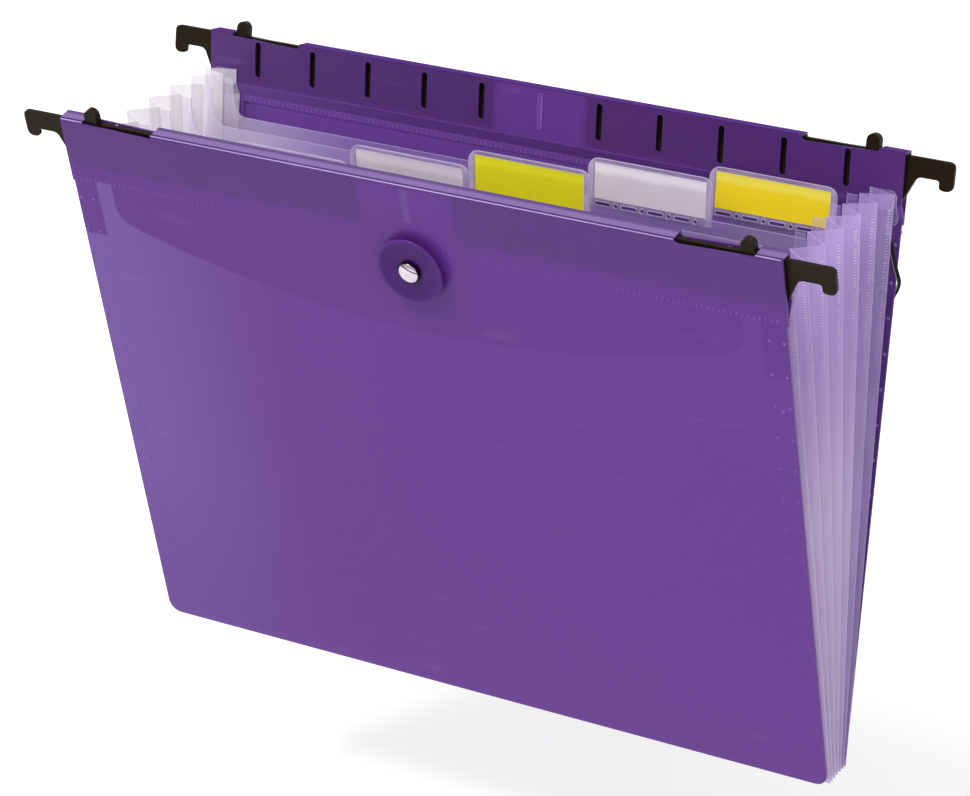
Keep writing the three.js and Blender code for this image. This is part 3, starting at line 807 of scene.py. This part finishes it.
# The lilac is painted light: the purple of the panels showing through the film, deeper towards the back; the
# white copy below is the film's own colour.
FROSTED_LILAC_LIT = gusset_film(
    "frosted gusset lit lilac from behind", colour(211, 180, 245), colour(237, 216, 255), colour(175, 141, 217), 0.35, 0.56
)
FROSTED_WHITE = gusset_film(
    "frosted white gusset", colour(248, 242, 247), colour(246, 240, 246), colour(252, 247, 253), 0.4, 0.45
)
BLACK_PLASTIC = moulded_plastic("black hook plastic", colour(30, 22, 9), colour(44, 35, 20), 0.36, 0.12)
BRIGHT_METAL = polished_metal("bright metal", colour(228, 222, 226))
BLACK_ELASTIC = braided_elastic("black elastic")
HIDDEN_LABEL = (colour(230, 220, 232), colour(253, 249, 253))
LABEL_TINTS = [
    HIDDEN_LABEL,
    HIDDEN_LABEL,
    (colour(222, 210, 218), colour(250, 242, 247)),
    (colour(240, 230, 8), colour(254, 248, 30)),
    (colour(224, 211, 222), colour(255, 252, 255)),
    (colour(255, 224, 10), colour(255, 238, 90)),
]


# Camera, floor and light


def make_camera():
    flat = cos(CAMERA_ELEVATION)
    x, y = sin(CAMERA_AZIMUTH) * flat, -cos(CAMERA_AZIMUTH) * flat
    back = Vector((x, y, sin(CAMERA_ELEVATION)))
    level = (-back).cross(Vector((0, 0, 1))).normalized()
    upright = level.cross(-back)
    right = cos(CAMERA_ROLL) * level + sin(CAMERA_ROLL) * upright
    up = cos(CAMERA_ROLL) * upright - sin(CAMERA_ROLL) * level
    data = bpy.data.cameras.new("camera")
    data.lens = data.sensor_width * FOCAL_PIXELS / IMAGE_WIDTH
    camera = put_in_scene("camera", data)
    turn = Matrix((right, up, back)).transposed().to_4x4()
    camera.matrix_world = Matrix.Translation(CAMERA_TARGET + CAMERA_DISTANCE * back) @ turn
    bpy.context.scene.camera = camera


def seen_directly(tree):
    """1 where the camera or clear plastic shows the background."""
    path = add_node(tree, "ShaderNodeLightPath")
    return larger(tree, path["Is Camera Ray"], path["Is Transmission Ray"])


def make_floor():
    shape = Shape()
    corners = [(-1, -1), (1, -1), (1, 1), (-1, 1)]
    points = [(i * FLOOR_HALF_SIZE, j * FLOOR_HALF_SIZE, FOOT_Z - FLOOR_GAP) for i, j in corners]
    shape.add(points, [(0, 1, 2, 3)])
    material, tree = new_material("pale floor", 0.9, specular=0.0)
    coat(material, (0.8, 0.8, 0.8, 1), 0.9)
    inputs = tree.nodes["Principled BSDF"].inputs
    inputs["Emission Color"].default_value = (1, 1, 1, 1)
    feed(tree, inputs["Emission Strength"], times(tree, seen_directly(tree), 0.42))
    shape.make("floor", material)


def make_world():
    world = bpy.data.worlds.new("studio")
    bpy.context.scene.world = world
    world.use_nodes = True
    tree = world.node_tree
    background = tree.nodes["Background"]
    background.inputs["Color"].default_value = (1, 1, 1, 1)
    feed(tree, background.inputs["Strength"], spread(tree, seen_directly(tree), 0.5, 1.0))


def make_lamp(name, place, size, watts):
    data = bpy.data.lights.new(name, "AREA")
    data.shape = "DISK"
    data.size = size
    data.energy = watts
    lamp = put_in_scene(name, data)
    lamp.location = place
    lamp.rotation_euler = (CAMERA_TARGET - Vector(place)).to_track_quat("-Z", "Y").to_euler()


# Elastic cord


def make_cord():
    left = [(-x, y, z) for x, y, z in reversed(CORD_HALF_ROUTE[:-1])]
    route = CORD_HALF_ROUTE + left
    data = bpy.data.curves.new("elastic_cord_braided", "CURVE")
    data.dimensions = "3D"
    data.resolution_u = 6
    data.bevel_depth = CORD_DIAMETER / 2
    data.bevel_resolution = 4
    data.use_fill_caps = True
    spline = data.splines.new("BEZIER")
    spline.bezier_points.add(len(route) - 1)
    for point, place in zip(spline.bezier_points, route):
        point.co = place
        point.handle_left_type = "AUTO"
        point.handle_right_type = "AUTO"
    data.materials.append(BLACK_ELASTIC)
    cord = put_in_scene("elastic_cord_braided", data)
    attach(cord, "back_panel")
    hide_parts("elastic_cord")
    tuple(CORD_HALF_ROUTE[0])


# Panels


def add_weld_row(shape, on_face, rng, faint, strong):
    """The row of small ticks that welds the sleeve shut, plainest towards both ends."""
    end_gap = 0.004
    tick_width = 0.0004
    tick_rise = 0.0001
    count = int(2 * (HALF_WIDTH - end_gap) / WELD_PITCH)
    for i in range(count + 1):
        across = (i - count / 2) * WELD_PITCH
        light = faint + (strong - faint) * abs(across / HALF_WIDTH) ** 2
        height = rng.uniform(0.0013, 0.0017)
        light *= rng.uniform(0.8, 1.1)
        add_bar(shape, on_face, across, WELD_DROP, tick_width, height, tick_rise, light)


def add_side_welds(shape, on_face, outer_light, outer_fade, inner_light):
    """The dots that weld the gusset's flaps on, in two rows down each side."""
    inner_fade = 0.85
    outer_row, inner_row = 0.1472, 0.1415
    between_rows, between_drop = 0.1444, 0.0646
    outer_dot, inner_dot = (0.0007, 0.00022), (0.0006, 0.0002)
    first, second, pitch = 0.035, 0.0493, 0.0136
    drops = [first] + [second + i * pitch for i in range(14)]
    for side, _ in SIDES:
        for i, drop in enumerate(drops):
            add_dot(shape, on_face, side * outer_row, drop, *outer_dot, outer_light * outer_fade**i)
            add_dot(shape, on_face, side * inner_row, drop, *inner_dot, inner_light * inner_fade**i)
        add_dot(shape, on_face, side * between_rows, between_drop, *inner_dot, inner_light)


def top_stretches():
    """The parts of a sleeve's top between the scoops for the knobs."""
    edge = HALF_WIDTH - 0.0006
    return (-edge, -SCOOP_OUTER), (-SCOOP_INNER, SCOOP_INNER), (SCOOP_OUTER, edge)


def add_top_fold(shape, on_face, normal, radius):
    """The fold along the top of a sleeve, broken by the scoops."""
    drop = 0.0002
    for start, end in top_stretches():
        add_bead(shape, [on_face(start, drop, 0), on_face(end, drop, 0)], normal, radius)


def add_top_strip(shape, on_face):
    """A thin dull strip over the top of a sleeve; its dark colour is painted shade."""
    for start, end in top_stretches():
        corners = [(start, 0), (end, 0), (end, -SLEEVE_DEPTH), (start, -SLEEVE_DEPTH)]
        points = [on_face(across, level, rise) for level in (SUNK, -SUNK) for across, rise in corners]
        shape.add(points, BOX_FACES)


def add_slot_rims(shape, on_face):
    """The rims round the index slots, rolled up by the punch, and the middle slot, which is only marked."""
    middle = (SLOT_TOP + SLOT_BOTTOM) / 2
    half_length = (SLOT_BOTTOM - SLOT_TOP - SLOT_WIDTH) / 2
    rim = SLOT_WIDTH / 2 + 0.0002
    rise = 0.00012
    for i in range(SLOT_COUNT):
        across = (i - (SLOT_COUNT - 1) / 2) * SLOT_PITCH
        add_outline(shape, on_face, across, middle, half_length, rim, rise, upright=True)
    length = 2 * half_length + SLOT_WIDTH
    add_bar(shape, on_face, 0, middle, SLOT_WIDTH + 0.0002, length, rise / 2, light=0.12)
    # A narrow pale bar down the right side of the middle slot: a painted highlight.
    add_bar(shape, on_face, SLOT_WIDTH / 2 - 0.0004, middle, 0.0007, 2 * half_length, rise, light=0.4)


def make_panel_details():
    rng = random.Random(11)
    for name, body, outside, inside, place, fold in (
        ("front", "front_panel", front_outside, front_inside, 0, FOLD_HIGHLIGHT),
        ("back", "back_panel", back_outside, back_inside, POCKETS, FOLD_SHADE),
    ):
        marks = Shape()
        add_weld_row(marks, outside, rng, faint=0.03, strong=0.42)
        add_weld_row(marks, inside, rng, faint=0.3, strong=0.45)
        add_side_welds(marks, outside, outer_light=0.25, outer_fade=0.86, inner_light=0.3)
        add_side_welds(marks, inside, outer_light=0.7, outer_fade=1.0, inner_light=0.3)
        add_slot_rims(marks, inside)
        piece = marks.make(f"{name}_weld_marks", MARK_PURPLE)
        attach(piece, body)
        normal = sheet_normal(place)
        # The top fold beads are painted light and shade: pale on the front panel, dark on the back one,
        # which also gets a dark strip over its top.
        folds = Shape()
        add_top_fold(folds, outside, normal, 0.00025)
        if place == 0:
            add_top_fold(folds, inside, normal, 0.00015)
        else:
            add_top_strip(folds, outside)
        piece = folds.make(f"{name}_top_fold", fold, smooth=place == 0)
        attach(piece, body)


# Button


def make_disc(centre, outward):
    """The disc: a rounded edge, and a shallow dish in its front."""
    half = DISC_THICKNESS / 2
    middle = DISC_BACK + half
    front = DISC_BACK + DISC_THICKNESS
    dish = front - 0.0004
    brim = (DISC_RADIUS * 0.86, front - 0.00005)
    slope_foot = (DISC_RADIUS * 0.76, front - 0.00035)
    profile = [(BORE, DISC_BACK), (DISC_RADIUS - half, DISC_BACK)]
    for i in range(1, 8):
        turn = pi * (i / 8 - 0.5)
        profile.append((DISC_RADIUS - half + half * cos(turn), middle + half * sin(turn)))
    profile += [(DISC_RADIUS - half, front), brim, slope_foot, (RIVET_RADIUS, dish), (BORE, dish)]
    disc = Shape()
    add_turned(disc, profile, centre, outward, sides=72)
    piece = disc.make("button_disc_rounded", DISC_PURPLE, smooth=True)
    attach(piece, "button_disc")
    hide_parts("button_disc")


def make_rivet(centre, outward):
    """The rivet: a flat tail inside the panel, a shank and a domed head in front of the disc."""
    axis = 0.00001
    shank = 0.0015
    tail_radius = 0.003
    tail = -0.0028
    tail_end = tail - 0.0005
    bevel = 0.0002
    dome_back = DISC_BACK + DISC_THICKNESS + CLEARANCE
    profile = [(axis, tail_end), (tail_radius, tail_end), (tail_radius, tail), (shank, tail)]
    profile += [(shank, dome_back), (RIVET_RADIUS - bevel, dome_back), (RIVET_RADIUS, dome_back + bevel)]
    for i in range(1, 9):
        turn = pi / 2 * i / 8
        radius = max(RIVET_RADIUS * cos(turn), axis)
        profile.append((radius, dome_back + bevel + (RIVET_HEIGHT - bevel) * sin(turn)))
    rivet = Shape()
    add_turned(rivet, profile, centre, outward, sides=48)
    piece = rivet.make("button_rivet_domed", RIVET_METAL, smooth=True)
    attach(piece, "front_panel")
    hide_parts("button_rivet")


# Gussets


def sheet_body(place):
    """The body that a sheet of the fan belongs to."""
    if place == 0:
        return "front_panel"
    return "back_panel" if place == POCKETS else f"divider_{place}"


def fold_stand_off(place, drop):
    """How far behind a sheet's plane the gusset's fold on it lies."""
    if place == 0:
        return inner_face(drop) + CLEARANCE
    return -inner_face(drop) - CLEARANCE if place == POCKETS else 0.0


def leaf_points(pocket, drop):
    """The front fold, the outer fold and the back fold of a pleat at one level, on the right side."""
    height = PANEL_HEIGHT - drop
    front = on_sheet(pocket, FOLD_X, height, fold_stand_off(pocket, drop))
    back = on_sheet(pocket + 1, FOLD_X, height, fold_stand_off(pocket + 1, drop))
    half = (back - front).length / 2
    reach = sqrt(max(LEAF_WIDTH**2 - half**2, 0))
    outer = (front + back) / 2 + Vector((reach, 0, 0))
    return front, outer, back


def leaf_row(pocket, drop, facing, side, bow):
    """A section of a leaf, from its sheet to the outer fold. Facing: 0 is a front leaf, 2 a back one."""
    folds = leaf_points(pocket, drop)
    line = []
    for share in LEAF_SHARES:
        point = folds[facing].lerp(folds[1], share)
        line.append(point + Vector((0, (facing - 1) * bow * sin(pi * share), 0)))
    mirror = Vector((side, 1, 1))
    return [[point * mirror for point in pair] for pair in thicken(line, Vector((0, 0, 1)))]


def leaf_face(pocket, drop, facing, side):
    """The outer face of a leaf near one level, measured from the outer fold."""
    folds = leaf_points(pocket, drop)
    inward = (folds[facing] - folds[1]).normalized()
    outward = Vector((abs(inward.y), inward.x * (1 if inward.y < 0 else -1), 0)).normalized()

    def on_face(reach, level, rise):
        point = folds[1] + inward * reach + outward * rise
        return Vector((side * point.x, point.y, point.z - (level - drop)))

    return on_face


def add_rungs(shape, pocket, facing, side, rng):
    """The short embossed bars beside the outer fold, pale with a painted highlight, which fade out down the
    leaf.
    """
    reach, width, height = 0.0015, 0.0013, 0.0005
    rise = GUSSET_THICKNESS / 2 + 0.00012
    first = GUSSET_TOP_DROP + 0.006
    last = rng.uniform(0.075, 0.135)
    for i in range(int((last - first) / RUNG_PITCH)):
        drop = first + i * RUNG_PITCH
        # How far down the run of rungs a bar lies: lower bars drop out more often and get a weaker painted
        # highlight.
        worn = (drop - first) / (last - first)
        if rng.random() < 0.04 + 0.5 * worn**4:
            continue
        light = 0.75 - 0.45 * worn + rng.uniform(-0.15, 0.15)
        add_bar(shape, leaf_face(pocket, drop, facing, side), reach, drop, width, height, rise, light)


def join_leaf(piece, pocket, facing, side):
    """Bakes a leaf's place into its points. The leaf runs from its own sheet at one fold to halfway between
    both sheets at the outer fold.
    """
    high_drop, low_drop = 0.03, 0.19
    high = leaf_points(pocket, high_drop)[1]
    low = leaf_points(pocket, low_drop)[1]
    outward = (high - low).cross(sheet_normal(pocket + 0.5)).normalized() * LEAF_WIDTH
    if outward.x < 0:
        outward = -outward
    sheets = (pocket, pocket + 1) if facing == 0 else (pocket + 1, pocket)
    sheet_body(sheets[0])
    sheet_body(sheets[1])
    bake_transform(piece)


def make_side_gussets():
    rng = random.Random(5)
    drops = [GUSSET_TOP_DROP, SLEEVE_WAIST_DROP, SLEEVE_TAPER_DROP, 0.038, EAR_DROP, BELOW_EAR]
    levels = 10
    drops += [EAR_DROP + (GUSSET_FOOT_DROP - EAR_DROP) * (i + 1) / levels for i in range(levels)]
    for side, word in SIDES:
        for pocket in range(POCKETS):
            most = rng.uniform(0.0001, 0.0005)
            bows = [most * sin(pi * i / len(drops)) for i in range(len(drops))]
            for facing, leaf in ((0, "front"), (2, "back")):
                shape = Shape()
                rows = [leaf_row(pocket, drop, facing, side, bow) for drop, bow in zip(drops, bows)]
                add_strip(shape, rows, LEAF_HIGHLIGHTS)
                add_rungs(shape, pocket, facing, side, rng)
                material = FROSTED_LILAC_LIT if side > 0 else FROSTED_WHITE
                piece = shape.make(f"pleat_{word}_{pocket + 1}_{leaf}", material)
                join_leaf(piece, pocket, facing, side)
                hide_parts(f"gusset_{word}")


def flap_edge(drop):
    """How far out the gusset's flap reaches: a wide ear with round corners, then a narrow strip."""
    narrow = 0.1428
    if drop >= FLAP_EAR_END:
        return narrow
    past = max(GUSSET_TOP_DROP + FLAP_CORNER - drop, drop - (FLAP_EAR_END - FLAP_CORNER), 0)
    return max(narrow, FLAP_EDGE - FLAP_CORNER + sqrt(max(FLAP_CORNER**2 - past**2, 0)))


def film_on_panel(inside, across, drop):
    """The two faces of the gusset's film where it lies on a panel."""
    return [inside(across, drop, CLEARANCE + rise) for rise in (0, GUSSET_THICKNESS)]


def make_flaps():
    """The outermost leaves of the gusset, which lie flat on the two panels."""
    top_corner = [GUSSET_TOP_DROP + FLAP_CORNER * share for share in (0, 0.1, 0.3, 0.6, 1)]
    low_corner = [0.0257, 0.0272, 0.0281, FLAP_EAR_END]
    drops = top_corner + [SLEEVE_WAIST_DROP, SLEEVE_TAPER_DROP] + low_corner
    drops += [EAR_DROP, BELOW_EAR, GUSSET_FOOT_DROP]
    for inside, body, face in INSIDES:
        for side, word in SIDES:
            rows = []
            for drop in drops:
                reach = flap_edge(drop) - FOLD_X
                stations = [side * (FOLD_X + reach * share) for share in (0, 0.06, 0.5, 0.93, 1)]
                rows.append([film_on_panel(inside, across, drop) for across in stations])
            shape = Shape()
            # The flap's edges are paler: a painted highlight.
            add_strip(shape, rows, [0.6, 0.1, 0.0, 0.1, 0.6])
            piece = shape.make(f"flap_{face}_{word}", FLAP_CLEAR)
            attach(piece, body)
            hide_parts(f"gusset_{word}")


def make_bottom_gusset():
    """The pleats between the sheets' feet, and a flap on each panel's foot."""
    end = FOLD_X - 0.0012
    bays = 8
    stand_off = SHEET + CLEARANCE
    for pocket in range(POCKETS):
        front = on_sheet(pocket, 0, FOLD_INSET, stand_off if pocket == 0 else 0)
        back = on_sheet(pocket + 1, 0, FOLD_INSET, -stand_off if pocket == POCKETS - 1 else 0)
        low = on_sheet(pocket + 0.5, 0, GUSSET_FOOT)
        line = [front, front.lerp(low, 0.9), low, back.lerp(low, 0.9), back]
        section = thicken(line, Vector((-1, 0, 0)))
        rows = []
        for i in range(bays + 1):
            across = Vector((-end + 2 * end * i / bays, 0, 0))
            rows.append([[across + point for point in pair] for pair in section])
        shape = Shape()
        # Paler at the folds: a painted highlight.
        add_strip(shape, rows, [0.8, 0.1, 0.9, 0.1, 0.8])
        piece = shape.make(f"bottom_pleat_{pocket + 1}", FROSTED_LILAC_LIT)
        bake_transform(piece)
        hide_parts("gusset_bottom")
    for inside, body, word in INSIDES:
        drops = (GUSSET_FOOT_DROP, PANEL_HEIGHT - FOLD_INSET)
        rows = [[film_on_panel(inside, across, drop) for drop in drops] for across in (-end, end)]
        shape = Shape()
        # Paler along the flap's upper edge: a painted highlight.
        add_strip(shape, rows, [0.2, 0.8])
        piece = shape.make(f"bottom_flap_{word}", FROSTED_LILAC_LIT)
        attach(piece, body)
        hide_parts("gusset_bottom")


# Dividers and tabs


def tab_outline(number):
    """The rim of a tab: up its left side, over its rounded top and down its right side."""
    steps = 6
    centre = tab_centre(number)
    half = TAB_WIDTH / 2
    low = DIVIDER_DROP + TAB_LAP
    corner_drop = DIVIDER_DROP - TAB_RISE + TAB_CORNER
    points = [(centre - half, low)]
    for corner, start in ((centre - half + TAB_CORNER, pi), (centre + half - TAB_CORNER, pi / 2)):
        for i in range(steps + 1):
            turn = start - pi / 2 * i / steps
            points.append((corner + TAB_CORNER * cos(turn), corner_drop - TAB_CORNER * sin(turn)))
    return points + [(centre + half, low)]


def make_tab_details(number):
    """A tab's rim, and the row of dashes and dots that welds its sleeve to the divider."""
    dashes = 4
    pitch = 0.0109
    row = DIVIDER_DROP + 0.0013
    start = tab_centre(number) - TAB_WIDTH / 2 + 0.0065
    tab_rim, dash_rim, dot_rim = 0.00018, (0.0026, 0.00075), (0.0, 0.00095)
    dash_hollow, dot_hollow = (0.0058, 0.0011), 0.0007
    rim_rise, hollow_rise = 0.00015, 0.00005
    rims = Shape()
    outline = [on_sheet(number, across, PANEL_HEIGHT - drop) for across, drop in tab_outline(number)]
    add_bead(rims, outline, sheet_normal(number), tab_rim)
    # Flat dark pads in the hollows of the weld marks: painted shade.
    hollow_shades = Shape()
    for facing in (-1, 1):
        on_face = tab_face(number, facing)
        for i in range(dashes):
            dash = start + i * pitch
            add_outline(rims, on_face, dash, row, *dash_rim, rim_rise)
            add_bar(hollow_shades, on_face, dash, row, *dash_hollow, hollow_rise)
            dot = dash + pitch / 2
            add_outline(rims, on_face, dot, row, *dot_rim, rim_rise)
            add_dot(hollow_shades, on_face, dot, row, dot_hollow, hollow_rise)
    # The tab's rim and the outlines of its weld marks are pale: painted highlights.
    rims.light = [0.6] * len(rims.points)
    for shape, word, material in ((rims, "rim", TAB_EDGE_HIGHLIGHT), (hollow_shades, "weld", WELD_HOLLOW_SHADE)):
        piece = shape.make(f"tab_{word}_{number}", material)
        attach(piece, f"divider_{number}")


def make_divider_edge(number):
    """The paler cut edge along the top of a divider and up its ears, a painted highlight."""
    ear_top = 0.0155
    ear_inner = DIVIDER_HALF_WIDTH - 0.004
    ear_foot = DIVIDER_HALF_WIDTH - 0.010
    half_line = [(0.0, DIVIDER_DROP)]
    for i in range(9):
        t = i / 8
        across = (1 - t) ** 2 * ear_foot + (1 - (1 - t) ** 2) * ear_inner
        drop = (1 - t**2) * DIVIDER_DROP + t**2 * ear_top
        half_line.append((across, drop))
    half_line.append((DIVIDER_HALF_WIDTH, ear_top))
    line = [(-across, drop) for across, drop in reversed(half_line[1:])] + half_line
    points = [on_sheet(number, across, PANEL_HEIGHT - drop) for across, drop in line]
    shape = Shape()
    add_bead(shape, points, sheet_normal(number), 0.0002, light=0.4)
    piece = shape.make(f"divider_edge_{number}", FROSTED_CLEAR)
    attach(piece, f"divider_{number}")


# Finishes of the pieces that keep their solids


def dress(node, material):
    frame["nodes"][node].material_slots[0].material = material


def dress_solids():
    dress("front_panel", FRONT_PURPLE)
    dress("back_panel", BACK_PURPLE)
    for face in ("front", "back"):
        for _, side in SIDES:
            dress(f"hook_{face}_{side}", BLACK_PLASTIC)
    for node in ("elastic_clip_left", "elastic_clip_right", "rivet_washer"):
        dress(node, BRIGHT_METAL)
    dress("button_spacer", BLACK_PLASTIC)
    for number in range(1, POCKETS):
        dress(f"divider_{number}", FROSTED_CLEAR)
        dress(f"tab_sleeve_{number}", tab_film(f"tab film {number}", number))
        dress(f"label_{number}", label_card(f"label card {number}", number, *LABEL_TINTS[number - 1]))


bpy.context.scene.view_settings.view_transform = "Standard"
make_camera()
make_cord()
make_floor()
make_world()
make_lamp("key", (-0.6, -1.2, 2.1), 1.2, 50)
make_lamp("fill", (1.6, -1.2, 0.9), 1.6, 7)
make_lamp("back light", (0.3, 1.6, 1.3), 1.4, 9)
dress_solids()
make_panel_details()
button_centre = on_sheet(0, 0, PANEL_HEIGHT - BUTTON_DROP)
make_disc(button_centre, -sheet_normal(0))
make_rivet(button_centre, -sheet_normal(0))
make_side_gussets()
make_flaps()
make_bottom_gusset()
for sheet_number in range(1, POCKETS):
    make_tab_details(sheet_number)
    make_divider_edge(sheet_number)
